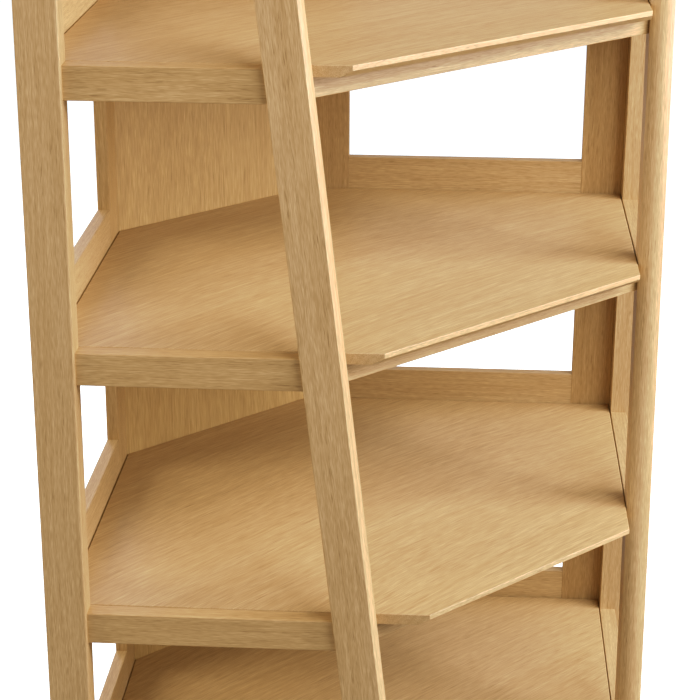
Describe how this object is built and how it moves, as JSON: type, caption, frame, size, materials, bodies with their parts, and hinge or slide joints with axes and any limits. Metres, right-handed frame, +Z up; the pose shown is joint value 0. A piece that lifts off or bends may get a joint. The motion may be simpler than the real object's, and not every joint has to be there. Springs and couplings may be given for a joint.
{
  "type": "corner ladder shelf",
  "caption": "Corner ladder shelf in light oak: two side frames with leaning front posts, open wall frames, a diagonal back panel and hexagonal boards that grow towards the floor.",
  "frame": {"origin": "middle of the plan square, on the floor", "axes": "+Z up; +X along the back wall, away from the left wall; +Y towards the back wall; the corner of the room is at -X, +Y"},
  "size_m": [0.765, 0.765, 1.83],
  "materials": {
    "light_oak": "matt lacquered light oak with fine straight grain",
    "beech_dowel": "plain beech",
    "zinc_plated_steel": "zinc plated",
    "dark_nylon": "matt moulded nylon"
  },
  "bodies": {
    "root": {"apron_dowels": "beech_dowel", "bracket_screws": "zinc_plated_steel", "corner_back_panel": "light_oak", "foot_glides": "dark_nylon", "front_apron_1": "light_oak", "front_apron_2": "light_oak", "front_apron_3": "light_oak", "front_apron_4": "light_oak", "front_apron_5": "light_oak", "left_back_post": "light_oak", "left_corner_stile": "light_oak", "left_front_post": "light_oak", "left_side_rail_1": "light_oak", "left_side_rail_2": "light_oak", "left_side_rail_3": "light_oak", "left_side_rail_4": "light_oak", "left_side_rail_5": "light_oak", "left_top_side_rail": "light_oak", "left_top_wall_rail": "light_oak", "left_wall_bracket": "zinc_plated_steel", "left_wall_rail_1": "light_oak", "left_wall_rail_2": "light_oak", "left_wall_rail_3": "light_oak", "left_wall_rail_4": "light_oak", "left_wall_rail_5": "light_oak", "left_wall_stile": "light_oak", "panel_dowels": "beech_dowel", "panel_screws": "zinc_plated_steel", "right_back_post": "light_oak", "right_corner_stile": "light_oak", "right_front_post": "light_oak", "right_side_rail_1": "light_oak", "right_side_rail_2": "light_oak", "right_side_rail_3": "light_oak", "right_side_rail_4": "light_oak", "right_side_rail_5": "light_oak", "right_top_side_rail": "light_oak", "right_top_wall_rail": "light_oak", "right_wall_bracket": "zinc_plated_steel", "right_wall_rail_1": "light_oak", "right_wall_rail_2": "light_oak", "right_wall_rail_3": "light_oak", "right_wall_rail_4": "light_oak", "right_wall_rail_5": "light_oak", "right_wall_stile": "light_oak", "shelf_1": "light_oak", "shelf_2": "light_oak", "shelf_3": "light_oak", "shelf_4": "light_oak", "shelf_5": "light_oak", "shelf_dowels": "beech_dowel", "side_rail_dowels": "beech_dowel", "stile_dowels": "beech_dowel", "wall_rail_dowels": "beech_dowel"}
  },
  "joints": []
}
